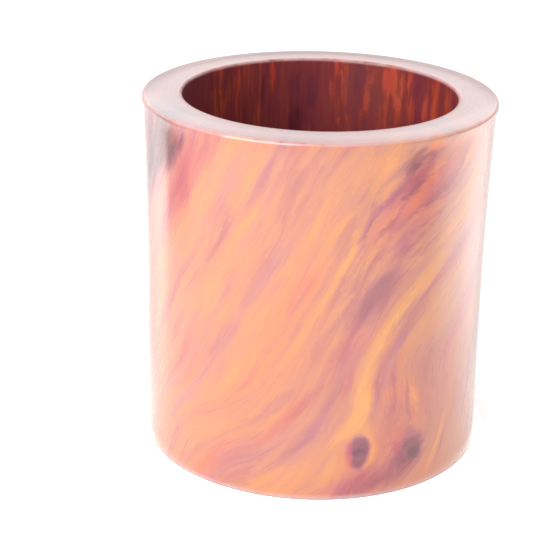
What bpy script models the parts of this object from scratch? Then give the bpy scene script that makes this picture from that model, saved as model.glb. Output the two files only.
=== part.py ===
"""A turned hardwood brush pot for a writing desk.

It is made of three pieces of wood, as such a pot comes apart on a bench:
- pot_wall, a thick hollow cylinder turned from one section of trunk, with gently waisted
  sides that flare a little to a rounded lip, and a rebate cut into its foot from below;
- base_board, a disc let into that rebate, which is the floor of the brush well;
- base_plug, a tapered plug driven up through the middle of the board, where the pith was.

The pot stands on the ring of its wall at z = 0, and its axis is the Z axis.
"""

import math

import bmesh
import bpy

MM = 0.001

# Driving dimensions
HEIGHT = 150.0 * MM
FOOT_RADIUS = 72.0 * MM
NECK_RADIUS = 72.6 * MM
WAIST_DEPTH = 1.25 * MM
LIP_FLARE = 0.6 * MM
FLARE_HEIGHT = 6.0 * MM
BORE_RADIUS = 56.5 * MM
FLOOR_HEIGHT = 12.5 * MM
REBATE_RADIUS = 64.0 * MM
BOARD_LIFT = 2.5 * MM
PLUG_RADIUS_BELOW = 11.5 * MM
PLUG_RADIUS_ABOVE = 10.5 * MM

# Edges and clearances
JOINT_GAP = 0.3 * MM
FOOT_ROUND = 1.0 * MM
REBATE_CHAMFER = 0.5 * MM
LIP_ROUND = 1.4 * MM
MOUTH_ROUND = 1.5 * MM
BOARD_CHAMFER = 0.6 * MM
PLUG_CHAMFER = 0.5 * MM

# How finely the turned shapes are cut into facets
SEGMENTS = 96
WALL_STEPS = 6
FLARE_STEPS = 3
ARC_STEPS = 4

LIP_RADIUS = NECK_RADIUS + LIP_FLARE
FLARE_START = HEIGHT - LIP_ROUND - FLARE_HEIGHT


def clear_scene():
    """Removes whatever the scene starts with."""
    for obj in list(bpy.data.objects):
        bpy.data.objects.remove(obj)


def wood(name, colour, roughness):
    """A plain polished wood material."""
    material = bpy.data.materials.new(name)
    material.use_nodes = True
    shader = material.node_tree.nodes["Principled BSDF"]
    shader.inputs["Base Color"].default_value = (*colour, 1.0)
    shader.inputs["Roughness"].default_value = roughness
    shader.inputs["Metallic"].default_value = 0.0
    material.diffuse_color = (*colour, 1.0)
    return material


def arc(centre, radius, start, end, steps=ARC_STEPS):
    """Points (r, z) on an arc about centre, from start to end, in degrees."""
    points = []
    for i in range(steps + 1):
        angle = math.radians(start + (end - start) * i / steps)
        points.append((centre[0] + radius * math.cos(angle), centre[1] + radius * math.sin(angle)))
    return points


def wall_radius(z):
    """Radius of the waisted side at height z: a parabola, hollow between foot and neck."""
    t = z / HEIGHT
    return FOOT_RADIUS + (NECK_RADIUS - FOOT_RADIUS) * t - WAIST_DEPTH * 4 * t * (1 - t)


def flared_radius(z):
    """Radius under the lip, where the side eases out to the lip's full width."""
    t = (z - FLARE_START) / FLARE_HEIGHT
    lip_gap = LIP_RADIUS - wall_radius(HEIGHT - LIP_ROUND)
    return wall_radius(z) + lip_gap * t * t


def waisted_side():
    """Points up the outside, from above the rounded foot to the rounded lip."""
    points = []
    for i in range(WALL_STEPS):
        z = FOOT_ROUND + (FLARE_START - FOOT_ROUND) * i / WALL_STEPS
        points.append((wall_radius(z), z))
    for i in range(FLARE_STEPS):
        z = FLARE_START + FLARE_HEIGHT * i / FLARE_STEPS
        points.append((flared_radius(z), z))
    return points


def spin(name, profile, material, closed=True):
    """Turns a profile of (r, z) points round the Z axis into one solid object.

    A closed profile is a ring's section. An open one starts and ends on the axis.
    """
    shape = bmesh.new()
    verts = [shape.verts.new((r, 0, z)) for r, z in profile]
    pairs = list(zip(verts, verts[1:]))
    if closed:
        pairs.append((verts[-1], verts[0]))
    edges = [shape.edges.new(pair) for pair in pairs]
    bmesh.ops.spin(
        shape,
        geom=verts + edges,
        cent=(0, 0, 0),
        axis=(0, 0, 1),
        angle=math.tau,
        steps=SEGMENTS,
        use_merge=True,
    )
    bmesh.ops.remove_doubles(shape, verts=shape.verts, dist=0.001 * MM)
    bmesh.ops.recalc_face_normals(shape, faces=shape.faces)
    mesh = bpy.data.meshes.new(name)
    shape.to_mesh(mesh)
    shape.free()
    mesh.materials.append(material)
    mesh.shade_smooth()
    mesh.set_sharp_from_angle(angle=math.radians(30))
    obj = bpy.data.objects.new(name, mesh)
    bpy.context.scene.collection.objects.link(obj)
    return obj


def pot_wall(material):
    """The wall: foot ring, waisted side, round lip, flat rim, bore, and the rebate under it."""
    foot = arc((wall_radius(FOOT_ROUND) - FOOT_ROUND, FOOT_ROUND), FOOT_ROUND, -90, 0)[:-1]
    lip = arc((LIP_RADIUS - LIP_ROUND, HEIGHT - LIP_ROUND), LIP_ROUND, 0, 90)
    mouth = arc((BORE_RADIUS + MOUTH_ROUND, HEIGHT - MOUTH_ROUND), MOUTH_ROUND, 90, 180)
    rebate = [
        (BORE_RADIUS, FLOOR_HEIGHT),
        (REBATE_RADIUS, FLOOR_HEIGHT),
        (REBATE_RADIUS, REBATE_CHAMFER),
        (REBATE_RADIUS + REBATE_CHAMFER, 0),
    ]
    return spin("pot_wall", foot + waisted_side() + lip + mouth + rebate, material)


def base_board(material):
    """The floor disc: it stops under the wall's shoulder and has the plug's tapered hole."""
    rim = REBATE_RADIUS - JOINT_GAP
    top = FLOOR_HEIGHT - JOINT_GAP
    profile = [
        (PLUG_RADIUS_BELOW + JOINT_GAP, BOARD_LIFT),
        (rim - BOARD_CHAMFER, BOARD_LIFT),
        (rim, BOARD_LIFT + BOARD_CHAMFER),
        (rim, top),
        (PLUG_RADIUS_ABOVE + JOINT_GAP, top),
    ]
    return spin("base_board", profile, material)


def base_plug(material):
    """The tapered plug, wider below, with its ends flush with the board's two faces."""
    top = FLOOR_HEIGHT - JOINT_GAP
    profile = [
        (0, BOARD_LIFT),
        (PLUG_RADIUS_BELOW - PLUG_CHAMFER, BOARD_LIFT),
        (PLUG_RADIUS_BELOW, BOARD_LIFT + PLUG_CHAMFER),
        (PLUG_RADIUS_ABOVE, top),
        (0, top),
    ]
    return spin("base_plug", profile, material, closed=False)


def main():
    clear_scene()
    pot_wall(wood("figured_heartwood", (0.46, 0.15, 0.06), 0.25))
    base_board(wood("plain_heartwood", (0.30, 0.10, 0.05), 0.4))
    base_plug(wood("plug_wood", (0.22, 0.08, 0.045), 0.45))


main()
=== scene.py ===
# %% [markdown]
# # A turned hardwood brush pot
#
# A brush pot stands on a writing desk and keeps brushes upright. This one is turned on a
# lathe from one section of a figured red hardwood, waxed and polished until it shines. Its
# floor is a disc let in from below, with a plug where the pith of the tree was. The CAD
# model of the three pieces is loaded first. It fixes the sizes, and the rest of this
# lesson builds finer pieces in the same place and gives them their wood.

# %% Load the frame
import math

import bmesh
import bpy
from mathutils import Matrix, Vector


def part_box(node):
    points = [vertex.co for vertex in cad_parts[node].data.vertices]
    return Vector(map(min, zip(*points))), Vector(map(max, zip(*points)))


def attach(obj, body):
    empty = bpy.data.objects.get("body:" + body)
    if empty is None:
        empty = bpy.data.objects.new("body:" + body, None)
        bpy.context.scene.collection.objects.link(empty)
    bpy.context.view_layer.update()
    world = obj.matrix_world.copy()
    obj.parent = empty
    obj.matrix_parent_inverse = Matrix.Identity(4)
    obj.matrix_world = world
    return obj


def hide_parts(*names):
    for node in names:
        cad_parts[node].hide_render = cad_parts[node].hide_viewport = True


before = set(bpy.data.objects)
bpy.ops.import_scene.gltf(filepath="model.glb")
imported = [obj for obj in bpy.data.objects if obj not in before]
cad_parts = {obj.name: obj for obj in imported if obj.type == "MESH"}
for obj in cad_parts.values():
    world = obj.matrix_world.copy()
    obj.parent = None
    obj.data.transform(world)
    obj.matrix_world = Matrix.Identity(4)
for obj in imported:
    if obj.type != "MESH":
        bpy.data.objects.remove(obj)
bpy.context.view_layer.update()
MM = 0.001
wall_low, wall_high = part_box("pot_wall")
HEIGHT = wall_high.z
print("pot", [round(side / MM, 1) for side in wall_high - wall_low], "mm")

# %% [markdown]
# ## The camera
#
# The pot is seen from a little above, close enough for its sides to lean in towards the
# foot. Its place is given as a studio would give it: how far off it stands, from how high
# it looks down, and how far the aim is off the pot's middle.

# %% Camera
CAMERA_DISTANCE = 0.6917
CAMERA_ELEVATION = math.radians(20.94)
CAMERA_LENS = 105.9
AIM_TILT, AIM_PAN, AIM_ROLL = (math.radians(a) for a in (0.498, -1.403, -1.73))

camera = bpy.data.objects.new("camera", bpy.data.cameras.new("camera"))
camera.data.lens = CAMERA_LENS
camera.data.sensor_width = 36.0
camera.data.clip_start = 0.01
bpy.context.scene.collection.objects.link(camera)
bpy.context.scene.camera = camera
eye = Vector((0, -math.cos(CAMERA_ELEVATION), math.sin(CAMERA_ELEVATION))) * CAMERA_DISTANCE
eye.z += HEIGHT / 2
camera.matrix_world = (
    Matrix.Translation(eye)
    @ Matrix.Rotation(math.pi / 2 - CAMERA_ELEVATION - AIM_TILT, 4, "X")
    @ Matrix.Rotation(-AIM_PAN, 4, "Y")
    @ Matrix.Rotation(-AIM_ROLL, 4, "Z")
)
print("camera at", [round(c, 4) for c in eye])

# %% [markdown]
# ## Working in edit mode
#
# Blender's modelling operators act on whatever is selected, so every step starts by
# selecting nothing, and then picks points, edges or faces by where they are. These small
# helpers do the picking. A test is given a point in millimetres, which keeps the numbers
# the same as on a drawing.


# %% Helpers for picking and shaping
def add(name, primitive, **settings):
    """Adds a primitive as a named piece, with its place in its mesh and no other selected."""
    bpy.ops.object.select_all(action="DESELECT")
    primitive(**settings)
    obj = bpy.context.object
    obj.name = obj.data.name = name
    bpy.ops.object.transform_apply(location=True, rotation=True, scale=True)
    return obj


def edit(obj):
    """Makes obj the only selected object and opens it in edit mode with nothing picked."""
    if bpy.context.object and bpy.context.object.mode == "EDIT":
        bpy.ops.object.mode_set(mode="OBJECT")
    bpy.ops.object.select_all(action="DESELECT")
    obj.select_set(True)
    bpy.context.view_layer.objects.active = obj
    bpy.ops.object.mode_set(mode="EDIT")
    bpy.ops.mesh.select_all(action="DESELECT")


def pick(obj, kind, test):
    """Picks the points, edges or faces whose middle, in mm, passes the test."""
    bpy.ops.mesh.select_mode(type={"verts": "VERT", "edges": "EDGE", "faces": "FACE"}[kind])
    bpy.ops.mesh.select_all(action="DESELECT")
    shape = bmesh.from_edit_mesh(obj.data)
    for item in getattr(shape, kind):
        if kind == "verts":
            middle = item.co
        elif kind == "edges":
            middle = (item.verts[0].co + item.verts[1].co) / 2
        else:
            middle = item.calc_center_median()
        if test(middle / MM):
            item.select_set(True)
    shape.select_flush_mode()
    bmesh.update_edit_mesh(obj.data)


def near(a, b, within=0.02):
    """Whether two lengths in mm are the same to within a hair."""
    return abs(a - b) < within


def places_along(obj, axis, test):
    """The different places in mm, along one axis, of the points that pass the test."""
    points = [vert.co / MM for vert in bmesh.from_edit_mesh(obj.data).verts]
    return sorted({round(point[axis], 3) for point in points if test(point)})


def cut(point, normal):
    """Cuts everything along a plane, point in mm."""
    bpy.ops.mesh.select_all(action="SELECT")
    bpy.ops.mesh.bisect(plane_co=Vector(point) * MM, plane_no=normal)
    bpy.ops.mesh.select_all(action="DESELECT")


def move(x=0.0, y=0.0, z=0.0):
    """Moves what is picked, in mm."""
    bpy.ops.transform.translate(value=Vector((x, y, z)) * MM)


def round_corners(obj, test, size, steps):
    """Rounds the picked corners of a flat section, size in mm."""
    pick(obj, "verts", test)
    bpy.ops.mesh.bevel(offset=size * MM, segments=steps, affect="VERTICES")


# %% [markdown]
# ## The wall
#
# On the lathe the wall is one cut section carried round the axis, and it is made the same
# way here. A flat rectangle stands beside the axis, from the bore to the outside. It is cut
# across at many heights, which are its stations. Its outer side is then pushed in for the
# waist and eased out under the lip, its lower inner corner is taken away for the rebate that
# holds the floor, and its corners are rounded. Only its outline is kept, and the spin turns
# that into the solid. Cutting the pot from a cylinder would work too, but each turned radius
# would then be a separate loop to scale.

# %% Section of the wall
FOOT_RADIUS, NECK_RADIUS, LIP_RADIUS = 72.0, 72.6, wall_high.x / MM
BORE_RADIUS, REBATE_RADIUS, FLOOR_HEIGHT = 56.5, 64.0, 12.5
WAIST_DEPTH, TALL = 1.25, HEIGHT / MM
LIP_ROUND, MOUTH_ROUND, FOOT_ROUND, REBATE_ROUND = 1.4, 1.5, 0.45, 0.5
LIP_DROP, MOUTH_DROP = 0.45, 0.1
FLARE_START, FLARE_END = TALL - 7.4, TALL - LIP_DROP - LIP_ROUND - 0.05
STATION_GAP, STATION_COUNT, FLARE_STEPS = 4.0, 32, 6
RIM_TOP = 65.0
RIM_CUTS = (58.8, 60.8, 62.8, REBATE_RADIUS, RIM_TOP, 67.0, 69.0, 70.4, 71.4)


def wall_radius(z):
    """The outside's radius in mm at height z: hollow between the foot and the neck."""
    t = z / TALL
    return FOOT_RADIUS + (NECK_RADIUS - FOOT_RADIUS) * t - WAIST_DEPTH * 4 * t * (1 - t)


def side_radius(z):
    """The same, with the flare that eases it out to the lip."""
    t = min(max((z - FLARE_START) / (FLARE_END - FLARE_START), 0), 1)
    return wall_radius(z) + (LIP_RADIUS - wall_radius(FLARE_END)) * t * t


wall = add("turned_wall", bpy.ops.mesh.primitive_plane_add, size=1.0, rotation=(math.pi / 2, 0, 0))
edit(wall)
bpy.ops.mesh.select_all(action="SELECT")
bpy.ops.transform.resize(value=((FOOT_RADIUS - BORE_RADIUS) * MM, 1, TALL * MM))
move(x=(FOOT_RADIUS + BORE_RADIUS) / 2, z=TALL / 2)
stations = [FLOOR_HEIGHT + STATION_GAP * (i + 1) for i in range(STATION_COUNT)]
flare_height = FLARE_END - FLARE_START
flare = [FLARE_START + flare_height * i / FLARE_STEPS for i in range(FLARE_STEPS + 1)]
for station in [FLOOR_HEIGHT / 2, FLOOR_HEIGHT, *stations, *flare]:
    cut((0, 0, station), (0, 0, 1))
for across in RIM_CUTS:
    cut((across, 0, 0), (1, 0, 0))
pick(wall, "faces", lambda p: p.x < REBATE_RADIUS and p.z < FLOOR_HEIGHT)
bpy.ops.mesh.delete(type="FACE")
outer_side = places_along(wall, 2, lambda p: near(p.x, FOOT_RADIUS))
for station in outer_side:
    pick(wall, "verts", lambda p: near(p.x, FOOT_RADIUS) and near(p.z, station))
    lip = station > FLARE_END
    move(x=(LIP_RADIUS if lip else side_radius(station)) - FOOT_RADIUS)
print("the section has", len(outer_side), "stations up its side")

# %% [markdown]
# A flat rim would look dead when polished, so the maker crowns it: it falls away a little
# from its middle to the lip and to the mouth. Nor is any edge left sharp. The lip and the
# mouth are rounded most, because hands and brushes touch them, and the foot only enough
# not to chip.

# %% Crowned rim, rounded corners, then the spin
TURNED_STEPS = 256

for across in places_along(wall, 0, lambda p: near(p.z, TALL)):
    pick(wall, "verts", lambda p: near(p.x, across) and near(p.z, TALL))
    if across > RIM_TOP:
        move(z=-LIP_DROP * ((across - RIM_TOP) / (LIP_RADIUS - RIM_TOP)) ** 2)
    else:
        move(z=-MOUTH_DROP * ((RIM_TOP - across) / (RIM_TOP - BORE_RADIUS)) ** 2)
round_corners(wall, lambda p: p.z > TALL - 1 and near(p.x, LIP_RADIUS), LIP_ROUND, 8)
round_corners(wall, lambda p: p.z > TALL - 1 and near(p.x, BORE_RADIUS), MOUTH_ROUND, 7)
round_corners(wall, lambda p: near(p.z, 0) and p.x > 71, FOOT_ROUND, 4)
round_corners(wall, lambda p: near(p.z, 0) and near(p.x, REBATE_RADIUS), REBATE_ROUND, 2)
bpy.ops.mesh.select_mode(type="FACE")
bpy.ops.mesh.select_all(action="SELECT")
bpy.ops.mesh.dissolve_faces(use_verts=False)
bpy.ops.mesh.select_all(action="SELECT")
bpy.ops.mesh.delete(type="ONLY_FACE")
bpy.ops.mesh.select_mode(type="VERT")
bpy.ops.mesh.select_all(action="SELECT")
bpy.ops.mesh.spin(steps=TURNED_STEPS, angle=math.tau, center=(0, 0, 0), axis=(0, 0, 1))
bpy.ops.mesh.select_all(action="SELECT")
bpy.ops.mesh.remove_doubles(threshold=0.002 * MM)
bpy.ops.mesh.normals_make_consistent(inside=False)
bpy.ops.object.mode_set(mode="OBJECT")


def smooth_shade(obj, degrees=30):
    """Smooth shading that keeps arrises sharper than the given angle."""
    bpy.ops.object.select_all(action="DESELECT")
    obj.select_set(True)
    bpy.context.view_layer.objects.active = obj
    bpy.ops.object.shade_smooth_by_angle(angle=math.radians(degrees))


smooth_shade(wall)
print("wall", len(wall.data.polygons), "faces")

# %% [markdown]
# ## The floor board and its plug
#
# The floor of the well is a separate disc, glued up into the rebate from below, because the
# pith at a tree's heart splits and was bored away. It starts as a short cylinder. Its two
# faces are inset to draw the hole for the plug, the middles are removed and the two rims
# bridged. The hole is tapered, so the plug, a slightly conical peg, wedges tight.

# %% Floor board
board_low, board_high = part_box("base_board")
_, plug_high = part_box("base_plug")
BOARD_RADIUS, PLUG_GAP = board_high.x / MM, 0.3
PLUG_BELOW, PLUG_ABOVE = plug_high.x / MM, plug_high.x / MM - 1.0
BOARD_SIDES, PLUG_SIDES = 128, 96
BOARD_ROUND, PLUG_ROUND = 0.6, 0.5
board_bottom, board_top = board_low.z / MM, board_high.z / MM
board_middle = (0, 0, (board_top + board_bottom) / 2 * MM)
thickness = (board_top - board_bottom) * MM

board = add(
    "floor_board",
    bpy.ops.mesh.primitive_cylinder_add,
    vertices=BOARD_SIDES,
    radius=BOARD_RADIUS * MM,
    depth=thickness,
    location=board_middle,
)
edit(board)
for level, hole in ((board_bottom, PLUG_BELOW + PLUG_GAP), (board_top, PLUG_ABOVE + PLUG_GAP)):
    pick(board, "faces", lambda p: near(p.z, level))
    for ring in (BOARD_RADIUS * 0.75, BOARD_RADIUS * 0.5, hole):
        bpy.ops.mesh.inset(thickness=0.1 * MM)
        shape = bmesh.from_edit_mesh(board.data)
        middle = next(face for face in shape.faces if face.select)
        now = (middle.verts[0].co.xy).length / MM
        bpy.ops.transform.resize(value=(ring / now, ring / now, 1))
    bpy.ops.mesh.delete(type="FACE")
pick(board, "verts", lambda p: p.xy.length < PLUG_BELOW + 1)
bpy.ops.mesh.select_mode(type="EDGE")
bpy.ops.mesh.bridge_edge_loops()
pick(board, "edges", lambda p: near(p.z, board_bottom) and p.xy.length > BOARD_RADIUS - 0.1)
bpy.ops.mesh.bevel(offset=BOARD_ROUND * MM, segments=3)
bpy.ops.mesh.select_all(action="SELECT")
bpy.ops.mesh.normals_make_consistent(inside=False)
bpy.ops.object.mode_set(mode="OBJECT")
smooth_shade(board)
print("board", len(board.data.polygons), "faces")

# %% [markdown]
# The plug starts as a cone with its tip cut off, wider below. Its two ends are softened,
# and their middles are closed by an inset and a point, so that no face is a large polygon.

# %% Plug
plug = add(
    "centre_plug",
    bpy.ops.mesh.primitive_cone_add,
    vertices=PLUG_SIDES,
    radius1=PLUG_BELOW * MM,
    radius2=PLUG_ABOVE * MM,
    depth=thickness,
    location=board_middle,
)
edit(plug)
pick(plug, "edges", lambda p: near(p.z, board_bottom) or near(p.z, board_top))
bpy.ops.mesh.bevel(offset=PLUG_ROUND * MM, segments=3)
for level in (board_bottom, board_top):
    pick(plug, "faces", lambda p: near(p.z, level) and p.xy.length < 1)
    bpy.ops.mesh.inset(thickness=PLUG_ABOVE * 0.5 * MM)
    bpy.ops.mesh.poke()
bpy.ops.object.mode_set(mode="OBJECT")
smooth_shade(plug)
print("plug", len(plug.data.polygons), "faces")

# %% [markdown]
# ## Building materials from nodes
#
# A shader is a graph of small nodes. Most of these helpers add one node per call. What a
# node puts out is a value, and values add and multiply, so that a material reads like a sum
# on paper.


# %% Helpers for node graphs
class Value:
    """A number that a node puts out. Sums and products of values add Math nodes."""

    def __init__(self, graph, socket):
        self.graph, self.socket = graph, socket


OPERATORS = {"add": "ADD", "sub": "SUBTRACT", "mul": "MULTIPLY", "truediv": "DIVIDE"}
for sign, operation in OPERATORS.items():
    setattr(Value, f"__{sign}__", lambda a, b, does=operation: a.graph.math(does, a, b))
    setattr(Value, f"__r{sign}__", lambda a, b, does=operation: a.graph.math(does, b, a))


class Outputs:
    """What a node puts out, as values found by name or by number."""

    def __init__(self, graph, node):
        self.graph, self.node = graph, node

    def __getitem__(self, key):
        return Value(self.graph, self.node.outputs[key])


class Graph:
    """Adds nodes to one tree. A node is fed numbers, tuples and other nodes' values."""

    def __init__(self, tree):
        self.tree = tree

    def feed(self, node, inputs):
        for key, value in inputs.items():
            if isinstance(value, Value):
                self.tree.links.new(value.socket, node.inputs[key])
            else:
                node.inputs[key].default_value = value

    def node(self, kind, inputs, **settings):
        made = self.tree.nodes.new("ShaderNode" + kind)
        for name, setting in settings.items():
            setattr(made, name, setting)
        self.feed(made, inputs)
        return Outputs(self, made)

    def group(self, group, inputs):
        return self.node("Group", inputs, node_tree=group)

    def math(self, operation, a, b=0.0, clamp=False):
        return self.node("Math", {0: a, 1: b}, operation=operation, use_clamp=clamp)[0]

    def vector(self, operation, a, b=(0.0, 0.0, 0.0)):
        made = self.node("VectorMath", {0: a, 1: b}, operation=operation)
        return made["Value" if operation == "LENGTH" else "Vector"]

    def scaled(self, a, factor):
        return self.node("VectorMath", {0: a, "Scale": factor}, operation="SCALE")["Vector"]

    def in_mm(self, place):
        return self.scaled(place, 1 / MM)

    def split(self, a):
        return self.node("SeparateXYZ", {0: a})

    def join(self, x, y, z=0.0):
        return self.node("CombineXYZ", {0: x, 1: y, 2: z})[0]

    def range(self, value, low, high, to_low=0.0, to_high=1.0, kind="SMOOTHSTEP"):
        inputs = {"Value": value, 1: low, 2: high, 3: to_low, 4: to_high}
        return self.node("MapRange", inputs, interpolation_type=kind)[0]

    def noise(self, place, scale, detail=2.0, roughness=0.5, distortion=0.0, output="Fac"):
        inputs = {"Vector": place, "Scale": scale, "Detail": detail}
        inputs.update({"Roughness": roughness, "Distortion": distortion})
        return self.node("TexNoise", inputs)[output]

    def push(self, place, scale, detail):
        colour = self.noise(place, scale, detail, 0.6, output="Color")
        return self.vector("SUBTRACT", colour, (0.5, 0.5, 0.5))

    def mix(self, factor, a, b):
        return self.node("Mix", {0: factor, 2: a, 3: b}, data_type="FLOAT")[0]

    def blend(self, factor, a, b, kind="MIX"):
        return self.node("Mix", {0: factor, 6: a, 7: b}, data_type="RGBA", blend_type=kind)[2]

    def tinted(self, amount, colour, tint):
        return self.blend(amount, colour, self.blend(1.0, colour, tint, "MULTIPLY"))

    def ramp(self, value, stops):
        made = self.node("ValToRGB", {"Fac": value})
        elements = made.node.color_ramp.elements
        while len(elements) < len(stops):
            elements.new(0.5)
        for element, (position, colour) in zip(elements, stops):
            element.position, element.color = position, (*colour, 1.0)
        return made["Color"]


ORIGIN, UNIT = (0.0, 0.0, 0.0), (1.0, 1.0, 1.0)


def new_group(name, inputs, outputs):
    """An empty node group with its sockets, the graph that fills it, and what it is given."""
    group = bpy.data.node_groups.new(name, "ShaderNodeTree")
    for label, value in inputs.items():
        kind = "NodeSocketVector" if isinstance(value, tuple) else "NodeSocketFloat"
        socket = group.interface.new_socket(name=label, in_out="INPUT", socket_type=kind)
        socket.default_value = value
    for label, kind in outputs.items():
        group.interface.new_socket(name=label, in_out="OUTPUT", socket_type="NodeSocket" + kind)
    g = Graph(group)
    given = Outputs(g, group.nodes.new("NodeGroupInput"))
    group.nodes.new("NodeGroupOutput")
    return group, g, given


def finish_group(g, results):
    """Wires the results to the group's outputs."""
    g.feed(g.tree.nodes["Group Output"], results)
    print(g.tree.name, len(g.tree.nodes), "nodes")


# %% [markdown]
# ## How the grain runs
#
# The tree grew with a twist, and the lathe cut across it, so the grain climbs the pot as a
# slanting stream. It sweeps over to the right near the mouth, fans out at the lower left,
# and stands upright over two knots, where branches left the trunk. A maker would call each
# place a bend. The group measures round the pot and up it, and slides the measure round by
# the lean and the bends. Each line of the grain then keeps one value of the slid measure.

# %% Bends and knots
LEAN = 0.53
# name: azimuth from the front and half width in degrees, from height, to height, slide (mm)
BENDS = {
    "sweep_at_the_right": (67, 50, 20, 120, 22),
    "fan_at_the_lower_left": (-40, 48, 51, 10, -20),
    "upright_over_the_knots": (45, 54, 62, 25, 21),
    "back_sweep": (-122, 46, 20, 140, -34),
    "back_fan": (118, 52, 110, 10, 26),
}
# name: azimuth in degrees, height, reach of the pull (mm)
KNOTS = {
    "near_knot": (15.8, 20.4, 8.5),
    "far_knot": (33.8, 20.0, 10.5),
    "far_knot_tail": (31.0, 13.6, 3.0),
    "back_knot": (-141.0, 98.0, 11.0),
}
# How much a knot spreads the lines: at 1, its middle would be all one line.
KNOT_SPREAD = 0.85
MM_PER_DEGREE = FOOT_RADIUS * math.pi / 180


def streak_at(azimuth, height):
    """Which line of the grain, in mm round the foot, passes a place, knots left aside."""
    line = azimuth * MM_PER_DEGREE - LEAN * height
    for middle, width, start, end, slide in BENDS.values():
        across = min(max(1 - abs(azimuth - middle) / width, 0), 1)
        up = min(max((height - start) / (end - start), 0), 1)
        line -= slide * across**2 * (3 - 2 * across) * up**2 * (3 - 2 * up)
    return line


print("over the near knot runs line", round(streak_at(16, 60), 1))

# %% Group: grain flow
flow, g, given = new_group(
    "grain_flow",
    {"Position": ORIGIN, "Meander": 1.0},
    {"Grain": "Vector", "Chart": "Vector", "Ragged": "Vector", "Radius": "Float"},
)
place = g.in_mm(given["Position"])
split = g.split(place)
squared = g.math("POWER", split[0], 2) + g.math("POWER", split[1], 2)
radius = g.math("SQRT", squared)
turned = g.math("ARCTAN2", split[0], split[1] * -1.0)
degrees = turned * (180 / math.pi)
arc = turned * FOOT_RADIUS
# The bore's figure hangs straight down from the rim's.
in_bore = g.range(radius, BORE_RADIUS + 2.5, BORE_RADIUS + 0.2)
to_rim = (TALL - split[2]) * in_bore
height = split[2] + to_rim
chart = g.join(arc, height)
# Each bend and each knot slides the lines round by its own amount.
slide = height * LEAN
for middle, width, start, end, amount in BENDS.values():
    off = g.math("ABSOLUTE", degrees - float(middle))
    across = g.range(off, width, 0.0)
    up = g.range(height, start, end)
    slide = slide + across * up * amount
for azimuth, level, reach in KNOTS.values():
    centre = (azimuth * MM_PER_DEGREE, level, 0.0)
    away = g.vector("SUBTRACT", chart, centre)
    closeness = g.math("POWER", g.vector("LENGTH", away) / reach, 2)
    pull = g.math("EXPONENT", closeness * -1.0)
    sideways = g.split(away)[0]
    slide = slide + sideways * (pull * KNOT_SPREAD)
# A living tree never grows quite straight, so the lines also sway a little.
wide = g.noise(g.vector("MULTIPLY", place, (1.0, 1.0, 0.6)), 0.018, 2.0)
small = g.noise(g.vector("MULTIPLY", place, (1.0, 1.0, 0.5)), 0.075, 2.0)
sway = (wide - 0.5) * 10.0
sway = sway + (small - 0.5) * 2.4
line = arc - slide
swayed = line + sway * given["Meander"]
# The lines are rolled up again, so that noise read along them has no seam.
angle = swayed / FOOT_RADIUS
depth = (radius - FOOT_RADIUS) * 0.4
reach = depth + FOOT_RADIUS
grain = g.join(reach * g.math("SINE", angle), reach * g.math("COSINE", angle), split[2])
rough_edge = g.push(g.vector("MULTIPLY", grain, (1.0, 1.0, 0.3)), 0.16, 3.0)
ragged_by = g.vector("MULTIPLY", rough_edge, (7.0, 22.0, 0.0))
ragged = g.vector("ADD", g.join(line, split[2]), ragged_by)
finish_group(g, {"Grain": grain, "Chart": chart, "Ragged": ragged, "Radius": radius})

# %% [markdown]
# ## What the grain shows
#
# Across the grain the wood changes from golden orange through red to a smoky purple brown,
# in broad bands, narrower streaks and hair-thin dark veins. Along the grain it hardly
# changes. Noise stretched along the grain gives each of them, and they add up to one tone
# from 0, darkest, to 1, brightest.

# %% Group: streaked tone
streaks, g, given = new_group(
    "streaked_tone",
    {"Grain": ORIGIN, "Broad": 1.0, "Narrow": 1.0, "Fine": 1.0, "Veins": 1.0},
    dict.fromkeys(("Tone", "Mauve", "Red", "Flecks", "Pores", "Threads"), "Float"),
)


def stretched(scale, stretch, detail, roughness):
    """Noise drawn out along the grain, from -0.5 to 0.5."""
    drawn = g.vector("MULTIPLY", given["Grain"], (1.0, 1.0, 1.0 / stretch))
    return g.noise(drawn, scale, detail, roughness) - 0.5


broad = stretched(0.07, 6.0, 2.0, 0.5) * given["Broad"]
narrow = stretched(0.22, 9.0, 3.0, 0.6) * given["Narrow"]
threads = stretched(0.9, 16.0, 2.0, 0.6)
fine = threads * given["Fine"]
vein_line = g.math("ABSOLUTE", stretched(0.11, 10.0, 1.0, 0.5))
vein_patch = g.range(stretched(0.05, 3.0, 1.0, 0.5), 0.02, 0.14)
vein = g.range(vein_line, 0.012, 0.0) * vein_patch
tone = broad + narrow + (fine + 0.5)
tone = tone - vein * given["Veins"]
mauve = g.range(stretched(0.09, 5.0, 3.0, 0.6), -0.02, 0.2)
red = g.range(stretched(0.055, 4.0, 3.0, 0.6), 0.02, 0.22)
pores = g.range(stretched(1.7, 8.0, 1.0, 0.5), 0.12, 0.22)
# Short flecks, like strokes of a brush, where the light catches fibres that dip and rise.
jitter = g.vector("MULTIPLY", g.push(given["Grain"], 0.35, 2.0), (3.0, 3.0, 8.0))
strokes = g.vector("MULTIPLY", g.vector("ADD", given["Grain"], jitter), (1.0, 1.0, 0.3))
cells = {"Vector": strokes, "Scale": 0.34, "Smoothness": 0.6}
cells = g.node("TexVoronoi", cells, feature="SMOOTH_F1")["Color"]
flecks = g.node("SeparateColor", {0: cells})[0] - 0.5
shades = {"Tone": tone, "Mauve": mauve, "Red": red, "Flecks": flecks}
finish_group(g, {**shades, "Pores": pores, "Threads": threads})

# %% [markdown]
# Some marks sit at one place: a smoky cloud, a knot, a bright flame. One group draws an
# oval with a soft or a sharp edge, and each mark is that group with its own numbers.

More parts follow.
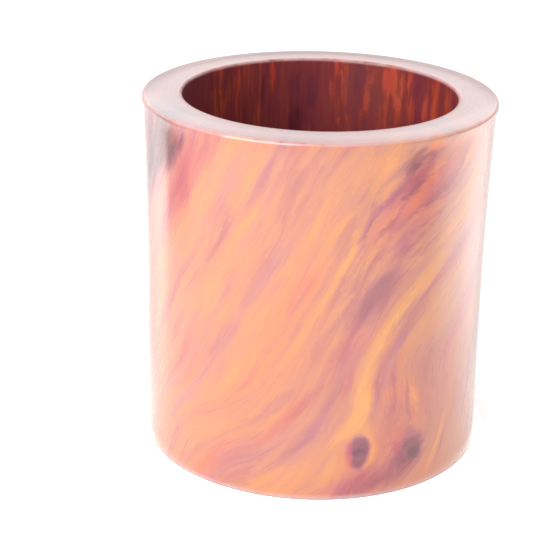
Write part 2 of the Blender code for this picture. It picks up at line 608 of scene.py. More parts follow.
# %% Group: placed mark
PLACED = {"Chart": ORIGIN, "Middle": ORIGIN, "Half Size": UNIT, "Turn": ORIGIN}
mark, g, given = new_group(
    "placed_mark", {**PLACED, "Edge": 0.5}, {"Mask": "Float", "Distance": "Float"}
)
inside_out = g.node(
    "Mapping",
    {
        "Vector": given["Chart"],
        "Location": given["Middle"],
        "Rotation": given["Turn"],
        "Scale": given["Half Size"],
    },
    vector_type="TEXTURE",
)[0]
distance = g.vector("LENGTH", inside_out)
outer = 1.0 + given["Edge"]
inner = 1.0 - given["Edge"]
finish_group(g, {"Mask": g.range(distance, outer, inner), "Distance": distance})

# %% [markdown]
# A knot is a branch cut across. Its dark heart is ringed like a small tree, its edge is
# nearly black on one side, and the wood beside it glows where the grain stands on end.

# %% Group: branch knot
knot, g, given = new_group(
    "branch_knot",
    {**PLACED, "Raggedness": 0.3},
    {"Mask": "Float", "Rings": "Float", "Core": "Float", "Halo": "Float", "Side": "Float"},
)
wobble = g.push(given["Chart"], 0.2, 3.0)
spread = given["Raggedness"] * 14.0
torn = g.scaled(wobble, spread)
torn = g.vector("ADD", given["Chart"], g.vector("MULTIPLY", torn, (1.0, 1.0, 0.0)))
shape = {"Middle": given["Middle"], "Half Size": given["Half Size"], "Turn": given["Turn"]}
oval = g.group(mark, {**shape, "Chart": torn, "Edge": 0.25})
beside_heart = g.vector("ADD", torn, (-0.6, 2.0, 0.0))
off_centre = g.group(mark, {**shape, "Chart": beside_heart, "Edge": 0.5})
wave = g.math("SINE", off_centre["Distance"] * 13.0)
rings = wave * g.range(off_centre["Distance"], 1.3, 0.3)
core = g.range(off_centre["Distance"], 1.05, 0.35)
beside = g.vector("SUBTRACT", torn, (2.6, 0.5, 0.0))
glow = g.group(mark, {**shape, "Chart": beside, "Edge": 0.5})
halo = glow["Mask"] * (1.0 - oval["Mask"])
from_middle = g.split(g.vector("SUBTRACT", torn, given["Middle"]))[0]
lit_side = g.range(from_middle, -1.2, -3.6)
parts = {"Mask": oval["Mask"], "Rings": rings, "Core": core, "Halo": halo, "Side": lit_side}
finish_group(g, parts)

# %% [markdown]
# ## Where the surface was touched
#
# The lathe, the polishing rag and years of hands treat each part of the wall differently.
# The rim is end grain, which drinks the wax and turns dark. The bore is only scraped and
# oiled. The lip, the mouth and the foot are rubbed pale, and the same pale colour is also
# painted light: a painted highlight on the lip and the mouth, and painted light over the
# shade at the foot. One group tells these places apart by how far they are from the axis
# and how high they are.

# %% Group: turned zones
zones, g, given = new_group(
    "turned_zones",
    {"Position": ORIGIN, "Radius": 0.0},
    dict.fromkeys(("Rim", "Bore", "Underside", "Rubbed And Painted Light"), "Float"),
)
up = g.split(given["Position"])[2] * (1 / MM)
rim = g.range(up, TALL - 1.1, TALL - 0.6)
rim = rim * g.range(given["Radius"], BORE_RADIUS + 0.5, BORE_RADIUS + 2.0)
rim = rim * g.range(given["Radius"], LIP_RADIUS - 0.3, LIP_RADIUS - 2.0)
bore = g.range(given["Radius"], BORE_RADIUS + 1.6, BORE_RADIUS + 0.4)
underside = g.range(up, 0.45, 0.1)
lip_edge = g.range(given["Radius"], LIP_RADIUS - 2.2, LIP_RADIUS - 0.4)
lip_edge = g.range(up, TALL - 1.9, TALL - 1.0) * lip_edge
foot_edge = g.range(given["Radius"], FOOT_RADIUS - 2.0, FOOT_RADIUS - 0.6)
foot_edge = g.range(up, 2.4, 0.6) * foot_edge
mouth_edge = g.range(given["Radius"], BORE_RADIUS + 1.9, BORE_RADIUS + 0.7)
mouth_edge = g.range(up, TALL - 1.4, TALL - 0.4) * mouth_edge
patchy = g.noise(g.in_mm(given["Position"]), 0.12, 3.0, 0.6)
# The rubbed edges, which also take the painted highlight and the painted light.
rubbed_and_painted_light = g.math("MAXIMUM", g.math("MAXIMUM", lip_edge, foot_edge), mouth_edge)
rubbed_and_painted_light = rubbed_and_painted_light * g.range(patchy, 0.2, 0.6)
finish_group(g, {"Rim": rim, "Bore": bore, "Underside": underside, "Rubbed And Painted Light": rubbed_and_painted_light})

# %% [markdown]
# The polish isn't perfect either. The rag leaves broad smears, use leaves a few hair-thin
# scratches round the pot, and the hand-held rag lets the surface ripple very slightly.

# %% Group: polish wear
wear, g, given = new_group(
    "polish_wear",
    {"Position": ORIGIN, "Scratches": 1.0},
    {"Smears": "Float", "Scratch": "Float", "Ripple": "Float"},
)
place = g.in_mm(given["Position"])
smears = g.noise(place, 0.045, 4.0, 0.62)
hair = g.noise(g.vector("MULTIPLY", place, (0.5, 0.5, 6.0)), 0.35, 2.0, 0.5, 1.2)
scratch = g.range(g.math("ABSOLUTE", hair - 0.5), 0.006, 0.0)
where = g.range(g.noise(place, 0.06, 2.0), 0.52, 0.66)
scratch = scratch * where * given["Scratches"]
ripple = g.noise(g.vector("MULTIPLY", place, (1.0, 1.0, 0.35)), 0.03, 2.0)
finish_group(g, {"Smears": smears, "Scratch": scratch, "Ripple": ripple})

# %% [markdown]
# ## Figured heartwood, polished
#
# This is the wall's own material. The marks along the grain are given by where their middle
# sits on the pot, and how far they run along and across the grain. A negative tone
# darkens, a positive one brings up the orange. Redness turns a mark crimson, and below zero
# it turns a dark one mauve and a bright one a purer orange.

# %% Marks of the figure
# name: azimuth, height, half across, half along (mm), edge softness, tone, redness
FIGURE = {
    "smoky_cloud": (19.0, 87.0, 5.6, 13.0, 0.7, -0.06, -0.3),
    "cloud_rising_right": (33.0, 111.0, 3.4, 8.0, 0.7, -0.24, 0.4),
    "cloud_running_down": (8.0, 62.0, 3.4, 18.0, 0.8, -0.14, 0.3),
    "trail_to_the_foot": (-10.0, 31.0, 3.0, 12.0, 0.8, -0.08, 0.3),
    "red_under_the_lip_right": (30.0, 124.0, 8.0, 16.0, 0.8, -0.08, 0.8),
    "dark_under_the_lip_right": (27.5, 130.0, 3.0, 6.0, 0.7, -0.12, 0.7),
    "dark_at_the_lip_right": (31.5, 141.0, 3.2, 6.0, 0.6, -0.34, -0.1),
    "ember_under_the_lip": (32.5, 126.0, 2.0, 5.0, 0.7, 0.24, 0.4),
    "ember_at_the_lip": (40.0, 146.4, 2.2, 2.2, 0.5, 0.42, 1.1),
    "salmon_at_the_neck": (47.0, 136.0, 6.0, 14.0, 0.8, 0.16, 0.3),
    "orange_under_the_lip": (22.0, 142.0, 4.0, 9.0, 0.7, 0.18, 0.1),
    "flame_rising_right": (36.0, 90.0, 2.6, 12.0, 0.7, 0.26, -0.4),
    "flame_in_the_middle": (20.5, 66.0, 3.0, 17.0, 0.7, 0.26, -0.4),
    "flame_over_the_knot": (16.5, 40.0, 3.4, 13.0, 0.7, 0.28, -0.4),
    "orange_left_of_cloud": (2.4, 86.0, 1.8, 24.0, 0.7, 0.16, -0.3),
    "orange_over_the_cloud": (12.5, 94.0, 1.6, 20.0, 0.7, 0.16, -0.3),
    "salmon_at_the_middle": (-8.0, 70.0, 12.0, 30.0, 0.9, 0.06, 0.25),
    "shade_under_the_flame": (30.0, 71.0, 2.4, 22.0, 0.8, -0.12, 0.3),
    "line_under_the_flame": (21.0, 44.0, 0.9, 11.0, 0.6, -0.18, 0.2),
    "upright_vein": (32.6, 43.0, 0.8, 12.0, 0.6, -0.24, 0.0),
    "arc_inside_the_vein": (27.0, 45.0, 0.8, 12.0, 0.8, -0.12, 0.4),
    "ember_by_the_vein": (35.2, 41.0, 1.5, 4.5, 0.6, 0.24, 0.0),
    "shade_at_the_right": (44.0, 49.0, 7.0, 18.0, 0.9, -0.10, 0.1),
    "bright_arc_at_the_foot": (45.6, 15.0, 1.7, 10.0, 0.7, 0.22, -0.2),
    "dark_arc_at_the_foot": (49.0, 15.0, 1.1, 9.0, 0.7, -0.16, 0.3),
    "red_round_the_knots": (31.0, 30.0, 9.0, 28.0, 0.8, -0.02, 0.5),
    "dark_under_the_knots": (16.0, 5.0, 6.0, 6.0, 0.8, -0.20, 0.5),
    "dark_beside_them": (31.0, 11.0, 4.0, 6.0, 0.8, -0.26, 0.4),
    "orange_at_the_foot": (1.0, 11.0, 7.0, 13.0, 0.8, 0.14, -0.4),
    "streak_at_the_left": (-29.5, 112.0, 2.6, 11.0, 0.8, -0.14, 0.0),
    "streak_at_the_neck": (-16.0, 134.0, 2.0, 12.0, 0.8, -0.14, 0.0),
    "red_under_the_lip_left": (-48.0, 124.0, 7.0, 24.0, 0.7, -0.12, 1.0),
    "dark_under_the_lip_left": (-51.0, 137.0, 3.4, 8.0, 0.7, -0.30, 0.2),
    "dark_round_the_left": (-64.0, 136.0, 13.0, 22.0, 0.8, -0.70, 0.0),
    "back_cloud": (-120.0, 60.0, 7.0, 24.0, 0.8, -0.30, 0.2),
    "back_flame": (-100.0, 95.0, 5.0, 30.0, 0.8, 0.22, -0.3),
    "back_red": (-150.0, 120.0, 9.0, 22.0, 0.8, -0.10, 0.8),
    "side_cloud": (96.0, 96.0, 6.0, 22.0, 0.8, -0.28, 0.2),
    "side_flame": (84.0, 50.0, 5.0, 28.0, 0.8, 0.22, -0.3),
    "side_red": (112.0, 118.0, 8.0, 20.0, 0.8, -0.10, 0.8),
    "far_side_cloud": (142.0, 40.0, 7.0, 20.0, 0.8, -0.28, 0.2),
}
# name: half across, half along, turn in degrees, raggedness, halo, darkness of the heart
KNOT_SHAPES = {
    "near_knot": (4.9, 7.8, -6.0, 0.2, 0.9, 1.0),
    "far_knot": (8.0, 7.6, -24.0, 0.5, 0.1, 0.8),
    "far_knot_tail": (3.4, 5.4, -34.0, 0.3, 0.0, 0.5),
    "back_knot": (5.2, 8.0, 14.0, 0.22, 0.7, 1.0),
}
# Two patches where the streaks fade into one tone. After the edge softness come that tone
# and how much of the streaks it hides.
SMOKY_CLOUD = (19.0, 87.0, 6.0, 13.0, 0.5, 0.24, 0.7)
CALM_SIDE = (54.0, 34.0, 15.0, 44.0, 0.6, 0.70, 0.6)
# Marks like those above, for the bore, where the streaks hang straight down. The broad
# bright patch at the right is painted light, where the key light falls on the inner wall,
# and the dark patch at the back is painted shade.
BORE_FIGURE_AND_PAINTED_LIGHT = {
    # Painted light on the right inner wall, where the key light falls.
    "painted_light_on_the_right_wall": (124.0, 138.0, 13.0, 16.0, 0.9, 0.16, 0.1),
    "ember_beside_them": (148.0, 142.0, 2.8, 5.0, 0.8, 0.30, 0.4),
    "ember_further_down": (136.0, 146.0, 2.4, 4.0, 0.8, 0.28, 0.2),
    "ember_by_the_middle": (160.0, 130.0, 1.8, 6.0, 0.8, 0.22, 0.6),
    "ember_at_the_back": (172.0, 147.0, 2.6, 5.0, 0.8, 0.26, 0.5),
    "ember_at_the_left": (-158.0, 145.0, 3.4, 6.0, 0.8, 0.26, 0.7),
    # Painted shade at the back of the bore.
    "painted_shade_at_the_back": (-171.0, 126.0, 9.0, 18.0, 0.9, -0.12, 0.0),
    "dark_at_the_right": (140.0, 112.0, 8.0, 12.0, 0.9, -0.16, 0.0),
}
print(len(FIGURE), "marks outside and", len(BORE_FIGURE_AND_PAINTED_LIGHT), "in the bore")

# %% [markdown]
# The material starts from one tone for the whole wall. The streaks give it, and short
# flecks liven it up, most of all under the lip at the right. The oiled bore shows stronger
# contrasts than the outside.

# %% Figured heartwood: colours and tone
HEART_COLOURS = (
    (0.00, (0.110, 0.027, 0.029)),
    (0.20, (0.220, 0.058, 0.055)),
    (0.42, (0.335, 0.104, 0.086)),
    (0.60, (0.415, 0.150, 0.086)),
    (0.80, (0.490, 0.182, 0.062)),
    (1.00, (0.560, 0.230, 0.058)),
)
MAUVE_TINT = (0.90, 0.92, 1.5, 1.0)
RED_TINT = (0.98, 0.60, 0.85, 1.0)
END_GRAIN_TINT = (0.40, 0.27, 0.42, 1.0)
BORE_TINT = (0.36, 0.12, 0.23, 1.0)
EMBER_TINT = (0.62, 0.20, 0.36, 1.0)
# Wax bloom, also a painted highlight on lip and mouth, and painted light at the foot.
WAX_BLOOM_AND_PAINTED_LIGHT = (0.40, 0.25, 0.25, 1.0)
PORE_COLOUR = (0.06, 0.018, 0.016, 1.0)


def new_material(name):
    """A material, its graph and its Principled shader."""
    material = bpy.data.materials.new(name)
    material.use_nodes = True
    return material, Graph(material.node_tree), material.node_tree.nodes["Principled BSDF"]


def dress(piece, material):
    """Gives a piece its material."""
    piece.data.materials.clear()
    piece.data.materials.append(material)
    print(material.name, len(material.node_tree.nodes), "nodes")


heartwood, g, shader = new_material("figured_heartwood")
position = g.node("TexCoord", {})["Object"]
grain = g.group(flow, {"Position": position, "Meander": 1.0})
zone = g.group(zones, {"Position": position, "Radius": grain["Radius"]})
rag = g.group(wear, {"Position": position, "Scratches": 1.0})
amounts = {"Broad": 0.5, "Narrow": 0.46, "Fine": 0.06, "Veins": 0.14}
wood = g.group(streaks, {"Grain": grain["Grain"], **amounts})


def figure_mark(azimuth, level, across, along, edge, line_level=None):
    """The mask of a mark that lies along the grain, on the line through its middle."""
    middle = (streak_at(azimuth, line_level or level), level, 0.0)
    size = {"Half Size": (across, along, 1.0), "Edge": edge}
    return g.group(mark, {"Chart": grain["Ragged"], "Middle": middle, **size})["Mask"]


lively = 0.14 + figure_mark(30.0, 122.0, 16.0, 32.0, 0.6) * 0.38
tone = wood["Tone"] + 0.13
tone = tone + wood["Flecks"] * lively
deeper = (tone - 0.6) * zone["Bore"]
tone = tone + deeper * 1.3

# %% [markdown]
# Then come the marks. In the two calm patches the streaks fade first, and the rest is laid
# over them. Beside the tone, each mark adds to how red or how mauve the wood is. In the
# bore, a mark lies on the line that passes the rim above it.

# %% Figured heartwood: marks along the grain
for *patch, settled, hiding in (SMOKY_CLOUD, CALM_SIDE):
    calm = figure_mark(*patch) * hiding
    tone = g.mix(calm, tone, settled)
# Only the calm side, which comes last, also turns the wood red and takes its mauve away.
red = wood["Red"] * 0.75 + calm * 0.35
mauve = wood["Mauve"] * (0.6 - calm * 0.6)
outside = g.range(grain["Radius"], BORE_RADIUS + 1.5, FOOT_RADIUS - 6.0)
for marks, shown, line_level in ((FIGURE, outside, None), (BORE_FIGURE_AND_PAINTED_LIGHT, zone["Bore"], TALL)):
    for *place, strength, redness in marks.values():
        amount = figure_mark(*place, line_level) * shown
        tone = tone + amount * strength
        if strength < 0 and redness < 0:
            mauve = mauve + amount * -redness
        elif redness:
            red = red + amount * redness

# %% [markdown]
# A knot covers the grain altogether. Its heart has a tone of its own, darkest in the core
# and lighter and redder on the side where the branch was still alive. Pores show neither in
# it nor on the rim.

# %% Figured heartwood: knots
off_rim = 1.0 - zone["Rim"]
pores = wood["Pores"] * off_rim * 0.06
for name, (across, along, turn, ragged, glow, dark) in KNOT_SHAPES.items():
    azimuth, level, _ = KNOTS[name]
    where = {"Middle": (azimuth * MM_PER_DEGREE, level, 0.0), "Half Size": (across, along, 1.0)}
    lean = {"Turn": (0.0, 0.0, math.radians(turn)), "Raggedness": ragged}
    branch = g.group(knot, {"Chart": grain["Chart"], **where, **lean})
    tone = tone + branch["Halo"] * (glow * 0.3)
    heart = 0.50 - 0.24 * dark + branch["Rings"] * 0.02 - branch["Core"] * (0.16 * dark)
    side = branch["Side"] * dark
    heart = heart + side * 0.28 + wood["Flecks"] * 0.3
    tone = g.mix(branch["Mask"], tone, heart)
    red = red + branch["Mask"] * side
    dusky = branch["Mask"] * (1.0 - side)
    mauve = g.math("ADD", mauve, dusky * (0.4 * dark), clamp=True)
    pores = pores * (1.0 - branch["Mask"])

# %% [markdown]
# The tone picks the colour, from a smoky brown to a golden orange, and each thing that
# colours the wood is then laid over it: mauve, red, pores, the dark end grain of the rim
# with its year rings, the oil in the bore, and the pale bloom of wax on rubbed edges. That
# pale bloom is also a painted highlight on the lip and the mouth, and painted light over the
# shade at the foot.

# %% Figured heartwood: colour
RIM_RINGS_PER_MM = 0.42

ring = grain["Radius"] + wood["Threads"] * 3.0
year = g.math("FRACT", ring * RIM_RINGS_PER_MM)
year = g.range(year, 0.2, 0.9) * g.range(year, 1.0, 0.92)
year = (year - 0.4) * zone["Rim"]
tone = tone - year * 0.22
colour = g.ramp(tone, HEART_COLOURS)
colour = g.tinted(mauve, colour, MAUVE_TINT)
red = g.range(red, 0.0, 1.0, kind="LINEAR")
colour = g.tinted(red, colour, RED_TINT)
colour = g.blend(pores, colour, PORE_COLOUR)
colour = g.tinted(zone["Rim"], colour, END_GRAIN_TINT)
oiled = g.blend(g.range(tone, 0.7, 1.1), BORE_TINT, EMBER_TINT)
colour = g.tinted(zone["Bore"], colour, oiled)
# Wax bloom, also a painted highlight on lip and mouth and painted light at the foot.
bloom_and_painted_light = zone["Rubbed And Painted Light"] * 0.75
colour = g.blend(bloom_and_painted_light, colour, WAX_BLOOM_AND_PAINTED_LIGHT)

# %% [markdown]
# The gloss is a clear coat over wood that is a little rough. The wood is rougher where it is
# rubbed, oiled or left bare, and the coat is thin in the bore and under the foot. The skin
# is nearly flat: pores and scratches are cut in by a few thousandths of a millimetre, and
# the broad ripple rises and falls by a few hundredths.

# %% Figured heartwood: gloss and skin
gloss_loss = zone["Rubbed And Painted Light"] * 0.2 + zone["Bore"] * 0.18 + zone["Underside"] * 0.3
roughness = 0.24 + wood["Threads"] * off_rim * 0.2 + rag["Smears"] * 0.12 + gloss_loss
coat = 1.0 - rag["Scratch"] * 0.3 - zone["Bore"] * 0.8
coat = g.math("SUBTRACT", coat, zone["Underside"] * 0.9, clamp=True)
skin = wood["Pores"] * -0.6 + rag["Ripple"] * 6.0 + rag["Scratch"] * -0.4
skin = skin * (off_rim * 0.9 + 0.1)
bump = g.node("Bump", {"Height": skin, "Distance": 0.00001, "Strength": 0.6})[0]
g.feed(shader, {"Base Color": colour, "Roughness": roughness, "Normal": bump})
g.feed(shader, {"Coat Weight": coat, "Coat Roughness": 0.05, "IOR": 1.45})
dress(wall, heartwood)

# %% [markdown]
# ## The board and the plug
#
# The board was sawn flat from a duller part of the same tree and faced on the lathe, so it
# has straight grain that closes into long ovals, crossed by fine rings from the tool. It is
# only wiped with oil, dust lies in the well, and old ink has dried in a few spots. The plug
# is cut across the grain: its year rings are round and fine cracks run out from its middle.
# Both share the tool marks and the dust, so these are groups.

# %% Group: tool rings
tool_rings, g, given = new_group(
    "tool_rings",
    {"Position": ORIGIN, "Pitch": 0.7},
    {"Groove": "Float", "Chatter": "Float"},
)
place = g.in_mm(given["Position"])
split = g.split(place)
flat = g.join(split[0], split[1])
drift = g.noise(place, 0.05, 2.0) * 2.0
turns = (g.vector("LENGTH", flat) + drift) / given["Pitch"]
groove = g.math("SINE", turns * math.tau)
depth = g.range(g.noise(flat, 0.11, 2.0), 0.35, 0.65)
chatter = g.noise(flat, 0.9, 2.0)
finish_group(g, {"Groove": groove * depth, "Chatter": chatter})

# %% [markdown]
# Dust gathers on what faces up, thickest where the floor meets the wall and no brush
# sweeps it. Ink falls in drops, so each blot is a cell of a sparse pattern, and only a few
# of the cells are chosen.

# %% Group: dust and ink
dust, g, given = new_group(
    "dust_and_ink",
    {"Position": ORIGIN, "Floor": FLOOR_HEIGHT, "Spread": 0.5},
    {"Dust": "Float", "Ink": "Float"},
)
place = g.in_mm(given["Position"])
split = g.split(place)
on_top = g.range(split[2], given["Floor"] - 1.2, given["Floor"] - 0.5)
flat = g.join(split[0], split[1])
edge = g.range(g.vector("LENGTH", flat), 34.0, BORE_RADIUS)
grit = g.noise(place, 1.4, 3.0, 0.7)
cloudy = g.noise(place, 0.07, 3.0, 0.6)
film = (edge * 0.5 + cloudy * given["Spread"]) * grit * on_top
spots = g.node("TexVoronoi", {"Vector": g.vector("ADD", flat, (7.0, 3.0, 0.0)), "Scale": 0.045})
blot = spots["Distance"] + g.noise(flat, 0.5, 2.0) * 0.16
chosen = g.range(g.node("SeparateColor", {0: spots["Color"]})[0], 0.55, 0.6)
ink = g.range(blot, 0.27, 0.2) * chosen * on_top
finish_group(g, {"Dust": film, "Ink": ink})

# %% [markdown]
# The board's year rings are the ovals of a flat-sawn plank. A trace of old glue shines at
# its rim, where it squeezed out of the rebate.

# %% Material: plain heartwood of the board
PLAIN_COLOURS = (
    (0.00, (0.085, 0.030, 0.022)),
    (0.35, (0.200, 0.066, 0.036)),
    (0.65, (0.320, 0.112, 0.052)),
    (1.00, (0.430, 0.170, 0.075)),
)
BOARD_RINGS_PER_MM = 0.55
FRESH_CUT = (0.12, 0.045, 0.028, 1.0)
OLD_GLUE = (0.16, 0.085, 0.040, 1.0)
DRY_INK = (0.012, 0.012, 0.016, 1.0)
PALE_DUST = (0.42, 0.36, 0.31, 1.0)
WELL_FLOOR = board_top

plain, g, shader = new_material("plain_heartwood")
position = g.node("TexCoord", {})["Object"]
place = g.in_mm(position)
tool = g.group(tool_rings, {"Position": position, "Pitch": 0.8})
dirt = g.group(dust, {"Position": position, "Floor": WELL_FLOOR, "Spread": 0.5})
bow = g.noise(g.vector("MULTIPLY", place, (0.35, 1.0, 1.0)), 0.022, 2.0)
split = g.split(place)
ovals = bow * 30.0 + split[1] * 0.28
year = g.math("FRACT", ovals * BOARD_RINGS_PER_MM)
late = g.range(year, 0.35, 0.92) * g.range(year, 1.0, 0.94)
fibres = g.noise(g.vector("MULTIPLY", place, (0.05, 1.0, 1.0)), 1.1, 3.0, 0.6)
tone = 0.52 + (fibres - 0.5) * 0.5 - late * 0.24
colour = g.ramp(tone, PLAIN_COLOURS)
shaved = (tool["Groove"] + 1.0) * 0.1
colour = g.blend(shaved, colour, FRESH_CUT)
from_axis = g.vector("LENGTH", g.vector("MULTIPLY", place, (1.0, 1.0, 0.0)))
glue = g.range(from_axis, BOARD_RADIUS - 1.5, BOARD_RADIUS - 0.3)
glue = glue * g.range(g.noise(place, 0.16, 3.0), 0.42, 0.62)
colour = g.blend(glue * 0.6, colour, OLD_GLUE)
colour = g.blend(dirt["Ink"], colour, DRY_INK)
colour = g.blend(dirt["Dust"] * 0.7, colour, PALE_DUST)
roughness = 0.46 + tool["Chatter"] * 0.16 - glue * 0.2 + dirt["Dust"] * 0.4
skin = tool["Groove"] + fibres * 1.6 + glue * 4.0
bump = g.node("Bump", {"Height": skin, "Distance": 0.00002, "Strength": 0.7})[0]
g.feed(shader, {"Base Color": colour, "Roughness": roughness, "Coat Weight": 0.08, "Normal": bump})
dress(board, plain)

# %% [markdown]
# The plug shows the end of its wood on both faces: round year rings off centre, rays that
# run out from the pith, and cracks along a few of them.

# %% Material: plug wood
PLUG_COLOURS = (
    (0.00, (0.030, 0.014, 0.011)),
    (0.35, (0.120, 0.044, 0.027)),
    (0.65, (0.215, 0.082, 0.045)),
    (1.00, (0.310, 0.130, 0.068)),
)
PLUG_RINGS_PER_MM = 0.8

peg, g, shader = new_material("plug_wood")
position = g.node("TexCoord", {})["Object"]
place = g.in_mm(position)
tool = g.group(tool_rings, {"Position": position, "Pitch": 0.6})
dirt = g.group(dust, {"Position": position, "Floor": WELL_FLOOR, "Spread": 0.3})
off_pith = g.vector("SUBTRACT", g.vector("MULTIPLY", place, (1.0, 1.0, 0.0)), (2.4, -1.6, 0.0))
wander = g.noise(g.vector("MULTIPLY", place, (1.0, 1.0, 0.1)), 0.12, 2.0)
ring = g.vector("LENGTH", off_pith) + wander * 3.0
year = g.math("FRACT", ring * PLUG_RINGS_PER_MM)
late = g.range(year, 0.3, 0.9) * g.range(year, 1.0, 0.93)
off = g.split(off_pith)
angle = g.math("ARCTAN2", off[0], off[1])
spokes = g.join(g.math("COSINE", angle), g.math("SINE", angle))
rays = g.noise(spokes, 9.0, 2.0)
crack = g.range(g.math("ABSOLUTE", g.noise(spokes, 2.6, 1.0) - 0.5), 0.014, 0.0)
crack = crack * g.range(ring, 9.0, 4.0)
pith = g.range(g.vector("LENGTH", off_pith), 1.1, 0.5)
pores = g.range(g.noise(place, 3.2, 1.0), 0.6, 0.7)
tone = 0.62 - late * 0.3 + (rays - 0.5) * 0.5
tone = tone - pores * 0.2 - g.math("MAXIMUM", crack, pith) * 0.6
colour = g.ramp(tone, PLUG_COLOURS)
colour = g.blend(dirt["Ink"], colour, DRY_INK)
colour = g.blend(dirt["Dust"] * 0.7, colour, PALE_DUST)
roughness = 0.5 + tool["Chatter"] * 0.16
skin = tool["Groove"] * 0.8 - crack * 8.0 - pores * 2.0
bump = g.node("Bump", {"Height": skin, "Distance": 0.00002, "Strength": 0.7})[0]
g.feed(shader, {"Base Color": colour, "Roughness": roughness, "Coat Weight": 0.04, "Normal": bump})
dress(plug, peg)

# %% [markdown]
# ## The pieces in place of the CAD nodes
#
# Each new piece takes the place of its CAD node.

# %% Pieces and bodies
for piece, node, slot in (
    (wall, "pot_wall", "figured_heartwood"),
    (board, "base_board", "plain_heartwood"),
    (plug, "base_plug", "plug_wood"),
):
    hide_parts(node)
    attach(piece, "root")

# %% [markdown]
# ## Stage and light
#
# The pot stands on a white sweep in soft, bright, even light. The sweep glows a little by
# itself, most of all in front and right round the foot, where the pot would otherwise
# leave a grey ring.

# %% Floor
bpy.ops.object.select_all(action="DESELECT")
bpy.ops.mesh.primitive_plane_add(size=12.0, location=(0, 0, -0.2 * MM))
floor = bpy.context.object
floor.name = "floor"
paper, g, shader = new_material("white_sweep")
spot = g.node("TexCoord", {})["Object"]
ahead = g.range(g.split(spot)[1], -0.2, 0.35, 0.2, 0.05)
round_foot = g.range(g.vector("LENGTH", spot), FOOT_RADIUS * MM, 0.078, 0.5, 0.0)
shine = ahead + round_foot
shine = g.node("CombineColor", {0: shine, 1: shine, 2: shine})[0]
g.feed(shader, {"Base Color": (0.8, 0.8, 0.8, 1.0), "Roughness": 0.9, "Specular IOR Level": 0.0})
g.feed(shader, {"Emission Color": shine, "Emission Strength": 1.0})
dress(floor, paper)

# %% [markdown]
# Cards that only the gloss can see lie on the sweep. White ones make the pale bands at the
# pot's two sides, and dark ones beside them keep the red deep, as the gaps between white
# studio sheets do. A card's edge shows as an upright line on a round pot when it points the
# way the gloss looks, so each card is a fan cut to two such lines. Each lies a little higher
# than the one before, so that none flickers through another.

# %% Reflection cards
# name: from and to which azimuth on the pot the card shows, fading in from and to how far
# out (m), the share of its width that is soft at each side, brightness, how solid
CARDS = {
    "bright_card_left": (-56, -74, 0.02, 0.34, 0.04, 0.8, 2.5, 0.8),
    "grey_card_left": (-60, -92, 0.0, 0.10, 0.35, 0.05, 0.7, 0.6),
    "dark_card_left": (-56, -40, 0.16, 0.34, 0.08, 0.5, 0.0, 0.5),
    "dark_card_right": (39, 26, 0.20, 0.36, 0.05, 0.5, 0.0, 0.5),
    "bright_card_right": (39, 74, 0.02, 0.26, 0.25, 0.5, 3.2, 0.65),
    "grey_card_right": (66, 92, 0.0, 0.10, 0.35, 0.05, 0.7, 0.5),
}
CARD_START, CARD_REACH = 0.02, 1.3


def mirrored(azimuth):
    """The spot on the pot's side at this azimuth, and the way its gloss looks."""
    turn_to = math.radians(azimuth)
    normal = Vector((math.sin(turn_to), -math.cos(turn_to)))
    spot = normal * FOOT_RADIUS * MM
    to_eye = (eye.xy - spot).normalized()
    return spot, 2 * normal.dot(to_eye) * normal - to_eye


def card_cloth(name, fade_start, fade_end, soft_start, soft_end, bright, solid):
    """A card's material: black or glowing cloth that fades out towards its edges."""
    cloth, g, shader = new_material(name)
    place = g.split(g.node("TexCoord", {})["UV"])
    far_off = g.range(place[0], fade_start / CARD_REACH, fade_end / CARD_REACH)
    edge = g.range(place[1], 0.0, soft_start) * g.range(place[1], 1.0, 1.0 - soft_end)
    alpha = far_off * edge * solid
    g.feed(shader, {"Base Color": (0.02, 0.02, 0.02, 1.0), "Specular IOR Level": 0.0})
    g.feed(shader, {"Emission Color": (1.0, 1.0, 1.0, 1.0), "Emission Strength": bright})
    g.feed(shader, {"Roughness": 0.9, "Alpha": alpha})
    return cloth


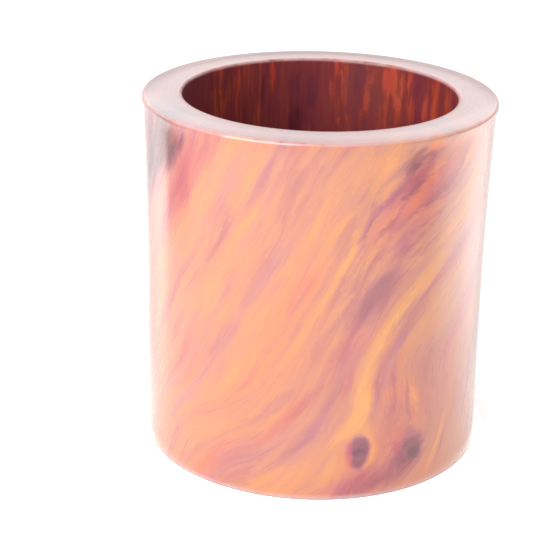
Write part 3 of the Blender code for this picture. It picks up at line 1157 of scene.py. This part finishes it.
for number, (name, (start, end, *looks)) in enumerate(CARDS.items()):
    lift = (1 + 0.2 * number) * MM
    card = add(name, bpy.ops.mesh.primitive_plane_add, size=1.0, location=(0.5, 0.5, 0))
    edit(card)
    bpy.ops.mesh.select_all(action="SELECT")
    bpy.ops.mesh.subdivide(number_cuts=7)
    for vert in bmesh.from_edit_mesh(card.data).verts:
        spot, way = mirrored(start + (end - start) * vert.co.y)
        vert.co = (*(spot + way * (CARD_START + (CARD_REACH - CARD_START) * vert.co.x)), lift)
    bpy.ops.object.mode_set(mode="OBJECT")
    dress(card, card_cloth(name + "_cloth", *looks))
    card.visible_camera = card.visible_diffuse = card.visible_shadow = False

# %% [markdown]
# The room round the sweep is brighter behind the pot than in front, which turns the
# polished edges white, and it is dimmer low down. The rim mirrors what is right behind. To
# the camera the backdrop is plain white, and all the rest only lights the pot. One large
# softbox at the upper left gives the light a side.

# %% World and key light
world = bpy.data.worlds.new("studio")
bpy.context.scene.world = world
world.use_nodes = True
g = Graph(world.node_tree)
way = g.split(g.node("TexCoord", {})["Generated"])
glow = g.range(way[1], -0.3, 0.9, 1.15, 2.0)
glow = glow * g.range(way[2], 0.2, 0.3, 0.44, 1.0)
# What the rim mirrors: the sweep right behind, brighter towards its two sides.
to_left = g.range(way[0], -0.02, -0.1, -0.06, 0.1)
to_right = g.range(way[0], 0.02, 0.1, 0.0, 0.14)
glow = glow * (1.0 + (to_left + to_right) * g.range(way[1], 0.88, 0.94))
seen = g.node("LightPath", {})["Is Camera Ray"]
g.feed(
    world.node_tree.nodes["Background"],
    {"Color": (1.0, 1.0, 1.0, 1.0), "Strength": g.mix(seen, glow, 1.0)},
)

KEY_PLACE, KEY_AIM = Vector((-0.9, -1.1, 1.0)), Vector((0, 0, 0.07))
key = bpy.data.objects.new("key", bpy.data.lights.new("key", "AREA"))
key.data.shape = "SQUARE"
key.data.size = 1.4
key.data.energy = 36.0
key.location = KEY_PLACE
key.rotation_euler = (KEY_AIM - KEY_PLACE).to_track_quat("-Z", "Y").to_euler()
key.visible_camera = False
bpy.context.scene.collection.objects.link(key)
bpy.context.scene.view_settings.view_transform = "Standard"
print("softbox", round(key.data.size, 2), "m wide,", round(key.location.length, 2), "m away")
